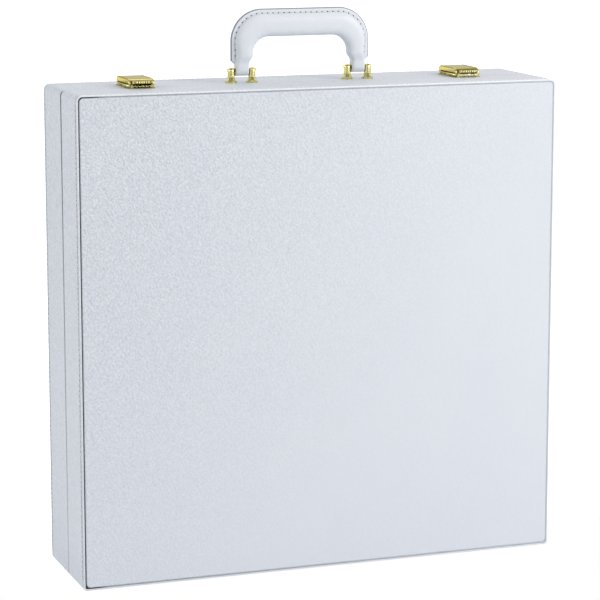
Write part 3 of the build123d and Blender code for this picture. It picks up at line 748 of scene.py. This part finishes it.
# The left keeper's hollow is dark brass, painted shade, and the right keeper's hollow and arches are cream
# brass, a painted highlight
for side, recess_finish, arch_finish in (
    ("left", brass_painted_shade, buffed_brass_painted_highlight), ("right", cream_brass_highlight, cream_brass_highlight),
):
    hasp_low, hasp_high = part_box("latch_hasp_" + side)
    middle = (hasp_low.x + hasp_high.x) / 2
    beads, hollows = bmesh.new(), bmesh.new()
    for index in range(bead_count):
        x = middle + (index - (bead_count - 1) / 2) * bead_pitch
        place = Vector((x, hasp_low.y + lip_proud, keeper_low.z + lip_rise))
        ball = bmesh.ops.create_uvsphere(
            beads, u_segments=bead_segments, v_segments=bead_rings, radius=bead_radius,
        )
        for vert in ball["verts"]:
            vert.co = place + vert.co * Vector((bead_squeeze, 1, bead_stretch))
    # A raised bead follows each long edge of the hasp's top and runs down its rounded front
    across, up = Vector((border_radius, 0, 0)), Vector((0, 0, border_radius))
    for edge in (-1, 1):
        x = middle + edge * border_half
        path = [Vector((x, hasp_high.y - border_back, hasp_high.z))]
        for step in range(border_steps + 1):
            turn = math.radians(90 * step / border_steps)
            y = keeper_low.y + border_front + border_bend * (1 - math.sin(turn))
            path.append(Vector((x, y, hasp_high.z - border_bend * (1 - math.cos(turn)))))
        join_rings(beads, [ring_about(beads, spot, across, up, wire_sides) for spot in path])
    # The lower edge of each side is rolled outwards, with a hollow above the roll drawn as a strip of dark
    # brass, painted shade
    for x in (hasp_low.x, hasp_high.x):
        for build, level, proud, tall in (
            (beads, roll_level, roll_proud, roll_tall), (hollows, hollow_level, hollow_proud, hollow_tall),
        ):
            across, up = Vector((proud, 0, 0)), Vector((0, 0, tall))
            z = hasp_low.z + level
            ends = [Vector((x, y, z)) for y in (hasp_low.y + roll_front, hasp_high.y - roll_back)]
            join_rings(build, [ring_about(build, end, across, up, roll_sides) for end in ends])
    row = mesh_piece("latch_thumb_beads_" + side, finished_mesh("thumb_beads", beads), buffed_brass_painted_highlight)
    lines = mesh_piece("latch_side_hollows_" + side, finished_mesh("side_hollows", hollows), brass_painted_shade)
    for piece in (row, lines):
        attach(piece, "latch_" + side)

    # The keeper's front is stamped with a sunk panel and a row of arches in it
    recess, arches = bmesh.new(), bmesh.new()
    half_reach = arch_pitch * arch_count / 2
    front = keeper_low.y - recess_proud
    rings = []
    for y in (front, front + recess_thickness):
        spots = [(middle + edge * half_reach, y, keeper_low.z + rise) for edge, rise in recess_corners]
        rings.append([recess.verts.new(spot) for spot in spots])
    join_rings(recess, rings)
    for index in range(arch_count):
        x = middle + (index - (arch_count - 1) / 2) * arch_pitch
        centre = Vector((x, front, keeper_low.z + arch_foot))
        rings = []
        for step in range(arch_steps + 1):
            turn = math.pi * step / arch_steps
            spoke = Vector((math.cos(turn), 0, math.sin(turn)))
            bend = centre + spoke * arch_radius
            rings.append(ring_about(arches, bend, spoke * arch_wire, Vector((0, arch_wire, 0)), wire_sides))
        join_rings(arches, rings)
    dark = mesh_piece("latch_keeper_recess_" + side, finished_mesh("keeper_recess", recess), recess_finish)
    scallops = mesh_piece("latch_keeper_arches_" + side, finished_mesh("keeper_arches", arches), arch_finish)
    for piece in (dark, scallops):
        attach(piece, "lid")

# Cold rolled spring steel: a cool grey with brushing along the strip
brushing_width = 0.3
spring_steel = new_material("cold_rolled_spring_steel")
steel_place = add(spring_steel, "ShaderNodeTexCoord").outputs["Object"]
steel_drawn = add(spring_steel, "ShaderNodeMapping", {"Vector": steel_place, "Scale": (1.0, 0.05, 0.05)})
brushing = add(spring_steel, "ShaderNodeTexNoise", {
    "Vector": steel_drawn, "Scale": 1000 / brushing_width, "Detail": 3.0,
})
steel_colour = add(spring_steel, "ShaderNodeMix", {
    0: brushing, 6: linear("#9A9DA3"), 7: linear("#BDC0C5"),
}, data_type="RGBA")
steel_rough = add(spring_steel, "ShaderNodeMapRange", {"Value": brushing, "To Min": 0.22, "To Max": 0.42})
steel_bump = add(spring_steel, "ShaderNodeBump", {"Height": brushing, "Strength": 0.3, "Distance": 0.00004})
surface(spring_steel, {
    "Base Color": steel_colour, "Metallic": 1.0, "Roughness": steel_rough,
    "Normal": steel_bump,
})
dress(spring_steel, "latch_springs")


# Handle fittings: four turned brass posts, screwed from inside the base, with a cross pin through each pair.
# A steel strip with an eye at each end runs through the handle and turns on the pins in brass bushes.
dress(buffed_brass_painted_highlight, "handle_posts", "handle_pins")
dress(polished_brass, "handle_bushes", "handle_post_washers", "handle_post_screws")
dress(spring_steel, "handle_core")


# Handle: leatherette folded round a padded steel strip and sewn to itself along the outside of the bracket,
# so a flat seam runs all round the outer edge. The legs end in narrow tongues that sit between the posts.
leg_width = 0.0205
grip_width = 0.025
outer_radius = 0.029
inner_radius = 0.015
flange_width = 0.0045
flange_half = 0.0016
body_half = 0.0075
tongue_half = 0.0055
tongue_half_width = 0.0062
tongue_fullness = 5.0
leg_rise = 0.0165
pivot_rise = 0.0115
leg_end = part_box("handle_posts")[0].z + leg_rise
pivot_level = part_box("handle_posts")[0].z + pivot_rise
shoulder = 0.0085
notch_start = 0.6
stitch_inset = 0.004
seam_valley = 0.0004
valley_width = 0.0006
flange_thinning = 0.25
cut_edge_share = 0.35
body_fullness = 2.6
front_half_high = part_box("handle_front_half")[1]
pivot_y = front_half_high.y
outer_half = front_half_high.x
handle_top = front_half_high.z
inner_half = outer_half - leg_width
inner_top = handle_top - grip_width
outer_centre = Vector((outer_half - outer_radius, 0, handle_top - outer_radius))
inner_centre = Vector((inner_half - inner_radius, 0, inner_top - inner_radius))
grip_stations = 22
bend_stations = 30
leg_stations = 14
shoulder_stations = 10
tongue_stations = 4
cap_stations = 8
cap_turn = math.radians(86)
body_points = 22
flange_points = 9
weld_distance = 0.000002


# One half of the bracket as pairs of outer and inner edge points, from the grip's middle to the leg's end
def half_bracket():
    stations = []
    for step in range(grip_stations):
        share = step / grip_stations
        outer = Vector((outer_centre.x * share, 0, handle_top))
        inner = Vector((inner_centre.x * share, 0, inner_top))
        stations.append((outer, inner))
    for step in range(bend_stations):
        turn = math.pi / 2 * (1 - step / bend_stations)
        spoke = Vector((math.cos(turn), 0, math.sin(turn)))
        stations.append((outer_centre + spoke * outer_radius, inner_centre + spoke * inner_radius))
    for step in range(leg_stations + 1):
        share = step / leg_stations
        outer_z = outer_centre.z + (leg_end + shoulder - outer_centre.z) * share
        inner_z = inner_centre.z + (leg_end + shoulder - inner_centre.z) * share
        stations.append((Vector((outer_half, 0, outer_z)), Vector((inner_half, 0, inner_z))))
    return [(outer, inner, flange_width, body_half, body_fullness) for outer, inner in stations]


# Below the leg the cover is drawn in to a tongue, which is rounded about the pin
def leg_foot():
    stations = []
    centre = (outer_half + inner_half) / 2
    for step in range(1, shoulder_stations + 1):
        share = step / shoulder_stations
        drawn = share * share * (3 - 2 * share)
        notch = max(0.0, (share - notch_start) / (1 - notch_start))
        z = leg_end + shoulder * (1 - share)
        outer_x = outer_half + (centre + tongue_half_width - outer_half) * notch
        inner_x = inner_half + (centre - tongue_half_width - inner_half) * drawn
        half = body_half + (tongue_half - body_half) * drawn
        stations.append((Vector((outer_x, 0, z)), Vector((inner_x, 0, z)), flange_width * (1 - notch), half,
                         body_fullness + 2 * share))
    outer_x, inner_x = centre + tongue_half_width, centre - tongue_half_width
    for step in range(1, tongue_stations + 1):
        z = leg_end + (pivot_level - leg_end) * step / tongue_stations
        stations.append((Vector((outer_x, 0, z)), Vector((inner_x, 0, z)), 0.0, tongue_half, tongue_fullness))
    for step in range(1, cap_stations + 1):
        turn = cap_turn * step / cap_stations
        z = pivot_level - tongue_half * math.sin(turn)
        half = tongue_half * math.cos(turn)
        stations.append((Vector((outer_x, 0, z)), Vector((inner_x, 0, z)), 0.0, half, tongue_fullness))
    return stations


# Half of the cross section as (distance from the inner edge, half thickness): a full body, then the flat seam
def cover_profile(width, flange, half, fullness):
    body = width - flange
    profile = []
    for point in range(body_points + 1):
        across = body / 2 * (1 - math.cos(math.pi * point / body_points))
        rise = half * max(0.0, 1 - abs(2 * across / body - 1) ** fullness) ** (1 / fullness)
        if flange > 0 and across > body / 2:
            rise = (rise ** 4 + flange_half ** 4) ** 0.25
        profile.append((across, rise))
    if flange <= 0:
        return profile + [(width, 0.0)] * flange_points
    for point in range(1, flange_points + 1):
        share = point / flange_points
        across = body + flange * share
        rise = flange_half * (1 - flange_thinning * share ** 2)
        rise -= seam_valley * math.exp(-((width - across - stitch_inset) / valley_width) ** 2)
        if point == flange_points:
            rise = flange_half * cut_edge_share
        profile.append((across, rise))
    return profile


# Smooth coated leatherette over padding: the same cool white with a softer shine and almost no grain, and
# faint painted shade in its fine pebble
smooth_pvc = leatherette("smooth_white_pvc", ("#E0E4E9", "#DCE0E6", "#C9CED6"), 0.9, 0.02, 0.42, 0.03)

# Edge dye: the cut edge of the seam is painted grey, and shows as a thin line round the handle
edge_dye, dye_cloud, dye_colour = mottled("grey_edge_dye", "#7F848E", "#9EA3AC", 1.2, detail=3.0)
dye_rough = add(edge_dye, "ShaderNodeMapRange", {"Value": dye_cloud, "To Min": 0.45, "To Max": 0.7})
dye_bump = add(edge_dye, "ShaderNodeBump", {"Height": dye_cloud, "Strength": 0.5, "Distance": 0.0001})
surface(edge_dye, {
    "Base Color": dye_colour, "Roughness": dye_rough, "IOR": 1.5,
    "Normal": dye_bump,
})


def cover_ring(build, outer, inner, flange, half, fullness):
    width = (outer - inner).length
    out = (outer - inner).normalized()
    profile = cover_profile(width, flange, half, fullness)
    places = [(across, -rise) for across, rise in profile]
    places += [(across, rise) for across, rise in reversed(profile[1:])]
    ring = []
    for across, rise in places:
        spot = inner + out * across
        ring.append(build.verts.new((spot.x, pivot_y + rise, spot.z)))
    return ring


def mirrored(station):
    outer, inner, *rest = station
    flip = Vector((-1, 1, 1))
    return (outer * flip, inner * flip, *rest)


half_stations = half_bracket() + leg_foot()
all_stations = [mirrored(station) for station in reversed(half_stations[1:])] + half_stations
cover = bmesh.new()
cover_rings = [cover_ring(cover, *station) for station in all_stations]
join_rings(cover, cover_rings)
# The faces over the seam's cut edge take the dye
dyed_faces = 4
edge_first = body_points + flange_points - dyed_faces // 2
ring_size = len(cover_rings[0])
wall_faces = ring_size * (len(cover_rings) - 1)
cover.faces.index_update()
for face in cover.faces:
    if face.index < wall_faces and 0 <= face.index % ring_size - edge_first < dyed_faces:
        face.material_index = 1
bmesh.ops.remove_doubles(cover, verts=cover.verts, dist=weld_distance)
handle_cover = mesh_piece("handle_padded_cover", finished_mesh("handle_cover", cover), smooth_pvc, edge_dye)
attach(handle_cover, "handle")
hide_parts("handle_front_half", "handle_back_half")


# Handle stitching: a row of white thread through both layers of the seam, on its front and on its back, with
# a slot where the needle went in at each end of a stitch, drawn as a small dark piece of painted shade.
handle_stitch_pitch = 0.0052
handle_stitch_length = 0.0038
handle_stitch_radius = 0.00042
handle_slot_length = 0.0011
handle_slot_radius = 0.0005
seam_stop = 0.006
seam_end = leg_end + seam_stop
sewn_radius = outer_radius - stitch_inset
sewn_grip = outer_centre.x
sewn_bend = sewn_radius * math.pi / 2
sewn_leg = outer_centre.z - seam_end
sewn_half = sewn_grip + sewn_bend + sewn_leg


# Place and direction at a distance along the seam from the middle of the grip, on the right half
def seam_place(distance):
    if distance <= sewn_grip:
        return Vector((distance, 0, handle_top - stitch_inset)), Vector((1, 0, 0))
    if distance <= sewn_grip + sewn_bend:
        turn = math.pi / 2 - (distance - sewn_grip) / sewn_radius
        spoke = Vector((math.cos(turn), 0, math.sin(turn)))
        return outer_centre + spoke * sewn_radius, Vector((math.sin(turn), 0, -math.cos(turn)))
    drop = distance - sewn_grip - sewn_bend
    return Vector((outer_half - stitch_inset, 0, outer_centre.z - drop)), Vector((0, 0, -1))


handle_rows = bmesh.new()
slots = bmesh.new()
stitch_count = int(sewn_half / handle_stitch_pitch)
for face_side in (-1, 1):
    outward = Vector((0, face_side, 0))
    seat = outward * (flange_half - seam_valley) + Vector((0, pivot_y, 0))
    for side in (-1, 1):
        for index in range(stitch_count):
            spot, along = seam_place((index + 0.5) * handle_stitch_pitch)
            spot = Vector((spot.x * side, 0, spot.z)) + seat
            along = Vector((along.x * side, 0, along.z))
            half = along * handle_stitch_length / 2
            sew(handle_rows, spot - half, spot + half, outward, handle_stitch_radius)
            hole, reach = spot + along * handle_stitch_pitch / 2, along * handle_slot_length / 2
            sew(slots, hole - reach, hole + reach, outward, handle_slot_radius)
    reach = Vector((handle_slot_length / 2, 0, 0))
    hole = Vector((0, 0, handle_top - stitch_inset)) + seat
    sew(slots, hole - reach, hole + reach, outward, handle_slot_radius)
handle_stitching = mesh_piece("handle_seam_stitching", finished_mesh("handle_stitching", handle_rows), thread)
needle_slots = mesh_piece("handle_needle_slots", finished_mesh("needle_slots", slots), needle_slot)
for piece in (handle_stitching, needle_slots):
    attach(piece, "handle")


# Floor and backdrop: a seamless sheet of white paper, lit softly from all round, with the shadow kept on it.
# The case stands on its hinge edge, so its open lid hangs below the floor: the sheet is cut out in front for
# it, and a panel that only throws light back up fills the opening, as a whole sheet would.
def seen_directly(material, rays):
    seen = add(material, "ShaderNodeMath", {
        0: rays.outputs["Is Camera Ray"], 1: rays.outputs["Is Glossy Ray"],
    }, operation="MAXIMUM")
    return add(material, "ShaderNodeMath", {
        0: seen, 1: rays.outputs["Is Transmission Ray"],
    }, operation="MAXIMUM")


# Uncoated paper: a matt cool white with a faint tooth. It is lifted where it is looked at, so it shows white
paper_tooth = 2.5
paper_lift = 0.72
paper = new_material("white_paper_floor")
paper_place = add(paper, "ShaderNodeTexCoord").outputs["Object"]
paper_noise = add(paper, "ShaderNodeTexNoise", {
    "Vector": paper_place, "Scale": 1000 / paper_tooth, "Detail": 2.0,
})
paper_bump = add(paper, "ShaderNodeBump", {"Height": paper_noise, "Strength": 0.05, "Distance": 0.0002})
paper_surface = add(paper, "ShaderNodeBsdfDiffuse", {"Color": linear("#E9EAEC"), "Normal": paper_bump})
paper_seen = seen_directly(paper, add(paper, "ShaderNodeLightPath"))
floor_lift = add(paper, "ShaderNodeMath", {0: paper_seen, 1: paper_lift}, operation="MULTIPLY")
paper_glow = add(paper, "ShaderNodeEmission", {"Strength": floor_lift})
paper_sum = add(paper, "ShaderNodeAddShader", {0: paper_surface, 1: paper_glow})
add(paper, "ShaderNodeOutputMaterial", {"Surface": paper_sum})

floor_reach = 12.0
lid_opening = ((-1.1, -1.6), (1.1, -1.6), (1.1, 0.02), (-1.1, 0.02))
floor_corners = ((-1, -1), (1, -1), (1, 1), (-1, 1))
floor_build, panel_build = bmesh.new(), bmesh.new()
outer_ring = [floor_build.verts.new((x * floor_reach, y * floor_reach, 0.0)) for x, y in floor_corners]
opening_ring = [floor_build.verts.new((x, y, 0.0)) for x, y in lid_opening]
join_rings(floor_build, [outer_ring, opening_ring], caps=False)
panel_build.faces.new([panel_build.verts.new((x, y, 0.0)) for x, y in lid_opening])
floor = mesh_piece("paper_floor", finished_mesh("paper_floor", floor_build, smooth=False), paper)
panel = mesh_piece("bounce_panel", finished_mesh("bounce_panel", panel_build, smooth=False), paper)
panel.visible_camera = False
panel.visible_shadow = False
for sheet in (floor, panel):
    sheet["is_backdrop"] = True

# The studio round it: white walls for the camera, and a ceiling with darker bands that show in reflections
ambient_strength = 0.7
ceiling_bands = ((0.03, 1.0), (0.16, 0.55), (0.3, 0.4), (0.42, 1.0), (0.6, 1.0), (0.75, 0.3))
world = bpy.data.worlds.new("white_studio")
scene.world = world
world.use_nodes = True
world.node_tree.nodes.clear()
world_rays = add(world, "ShaderNodeLightPath")
world_seen = seen_directly(world, world_rays)
ambient = add(world, "ShaderNodeBackground", {"Color": linear("#F5F6F8"), "Strength": ambient_strength})
sky = add(world, "ShaderNodeTexCoord").outputs["Generated"]
height = add(world, "ShaderNodeSeparateXYZ", {"Vector": sky})
ceiling = add(world, "ShaderNodeValToRGB", {"Fac": height.outputs["Z"]})
ramp = ceiling.color_ramp
for index, (stop, level) in enumerate(ceiling_bands):
    band = ramp.elements[index] if index < 2 else ramp.elements.new(stop)
    band.position, band.color = stop, (level, level, level, 1.0)
studio_white = add(world, "ShaderNodeMix", {
    0: world_rays.outputs["Is Glossy Ray"], 6: (1.0, 1.0, 1.0, 1.0), 7: ceiling,
}, data_type="RGBA")
white = add(world, "ShaderNodeBackground", {"Color": studio_white, "Strength": 1.0})
backdrop = add(world, "ShaderNodeMixShader", {0: world_seen, 1: ambient, 2: white})
add(world, "ShaderNodeOutputWorld", {"Surface": backdrop})


# Lamps: a large softbox in front on the right, a small weak one on the left, and one behind over the top
def softbox(name, place, aim, size, power, colour="#FFFFFF"):
    lamp = bpy.data.lights.new(name, "AREA")
    lamp.shape = "SQUARE"
    lamp.color = linear(colour)[:3]
    lamp.size = size
    lamp.energy = power
    holder = bpy.data.objects.new(name, lamp)
    holder.location = place
    holder.rotation_euler = (Vector(aim) - Vector(place)).to_track_quat("-Z", "Y").to_euler()
    scene.collection.objects.link(holder)


case_middle = (0.0, 0.0, 0.22)
softbox("key_softbox", (1.3, -1.35, 1.2), case_middle, 1.1, 22.6, "#FFFDF9")
softbox("fill_softbox", (-0.95, -0.05, 0.85), (-0.22, 0.0, 0.42), 0.5, 1.7)
softbox("top_softbox", (0.2, 0.9, 1.9), (0.0, 0.0, 0.44), 1.2, 4.5)

# Black flags: two cards on the floor in front, out of the picture, which draw dark lines in the brass. Matt
# black card throws almost no light back.
flag_paint, _, card_colour = mottled("matt_black_card", "#16171A", "#222428", 10 / 3)
surface(flag_paint, {"Base Color": card_colour, "Roughness": 0.9})
for name, start, end, top in (
    ("camera_flag", (-1.4, -2.0), (-0.25, -2.5), 0.42),
    ("left_latch_flag", (0.55, -3.95), (1.45, -4.1), 0.6),
):
    card = bmesh.new()
    low_edge = [card.verts.new((*spot, 0.0)) for spot in (start, end)]
    high_edge = [card.verts.new((*spot, top)) for spot in (end, start)]
    card.faces.new(low_edge + high_edge)
    flag = mesh_piece(name, finished_mesh(name, card, smooth=False), flag_paint)
    flag.visible_camera = False
    flag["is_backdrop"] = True

# Camera: in front on the left and a little above, fitted to the case's edges and the handle
camera_data = bpy.data.cameras.new("camera")
camera_data.lens = 151.5
camera_data.sensor_width = 36.0
camera_data.clip_start = 0.1
camera_data.clip_end = 60.0
camera = bpy.data.objects.new("camera", camera_data)
camera.location = (-0.7737, -2.1374, 0.6547)
camera.rotation_euler = (math.radians(90 - 10.40), 0, math.radians(-19.85))
scene.collection.objects.link(camera)
scene.camera = camera
scene.view_settings.view_transform = "Standard"

low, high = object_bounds()
